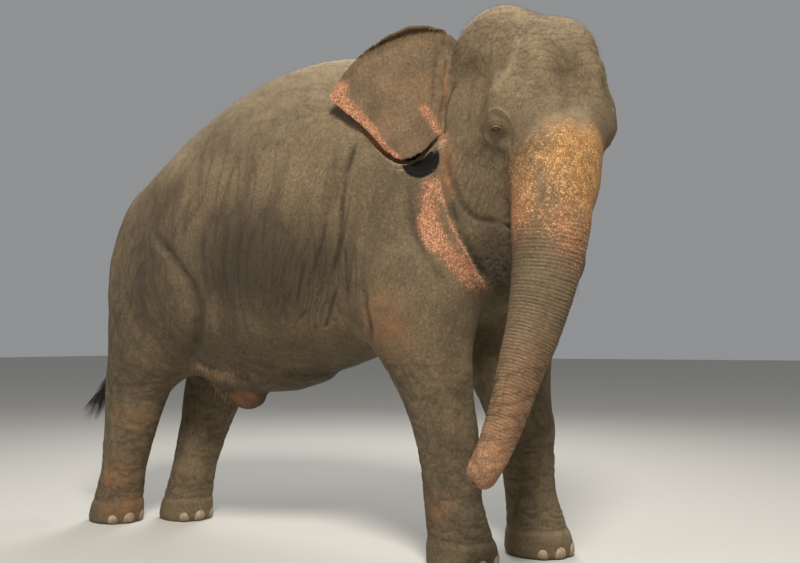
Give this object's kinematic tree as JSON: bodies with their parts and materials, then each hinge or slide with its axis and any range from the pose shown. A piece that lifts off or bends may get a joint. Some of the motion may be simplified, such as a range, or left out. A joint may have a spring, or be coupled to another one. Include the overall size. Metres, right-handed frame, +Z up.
{
  "type": "asian elephant",
  "caption": "Standing Asian elephant bull, life size and still, head turned to its right, trunk hanging and curled slightly back, near ear spread.",
  "frame": {"origin": "on the ground under the middle of the whole animal's bounding box", "axes": "+Z up from the ground, the animal faces -Y, its right side is on -X"},
  "size_m": [1.7712, 3.7944, 2.9552],
  "materials": {
    "skin": "matt, wrinkled and dusty, with pale freckled patches",
    "nail": "dull horn",
    "eye": "wet and glossy",
    "hair": "coarse dark hair"
  },
  "bodies": {
    "root": {"barrel": "skin", "chest": "skin", "ear_left": "skin", "ear_right": "skin", "eye_left": "eye", "eye_right": "eye", "fore_foot_left": "skin", "fore_foot_left_nail_1": "nail", "fore_foot_left_nail_2": "nail", "fore_foot_left_nail_3": "nail", "fore_foot_left_nail_4": "nail", "fore_foot_left_nail_5": "nail", "fore_foot_right": "skin", "fore_foot_right_nail_1": "nail", "fore_foot_right_nail_2": "nail", "fore_foot_right_nail_3": "nail", "fore_foot_right_nail_4": "nail", "fore_foot_right_nail_5": "nail", "head": "skin", "hind_foot_left": "skin", "hind_foot_left_nail_1": "nail", "hind_foot_left_nail_2": "nail", "hind_foot_left_nail_3": "nail", "hind_foot_left_nail_4": "nail", "hind_foot_right": "skin", "hind_foot_right_nail_1": "nail", "hind_foot_right_nail_2": "nail", "hind_foot_right_nail_3": "nail", "hind_foot_right_nail_4": "nail", "lower_fore_leg_left": "skin", "lower_fore_leg_right": "skin", "lower_hind_leg_left": "skin", "lower_hind_leg_right": "skin", "lower_jaw": "skin", "neck": "skin", "rump": "skin", "sheath": "skin", "tail_brush": "hair", "tail_end": "skin", "tail_root": "skin", "trunk_middle": "skin", "trunk_tip": "skin", "trunk_upper": "skin", "upper_fore_leg_left": "skin", "upper_fore_leg_right": "skin", "upper_hind_leg_left": "skin", "upper_hind_leg_right": "skin"}
  },
  "joints": []
}
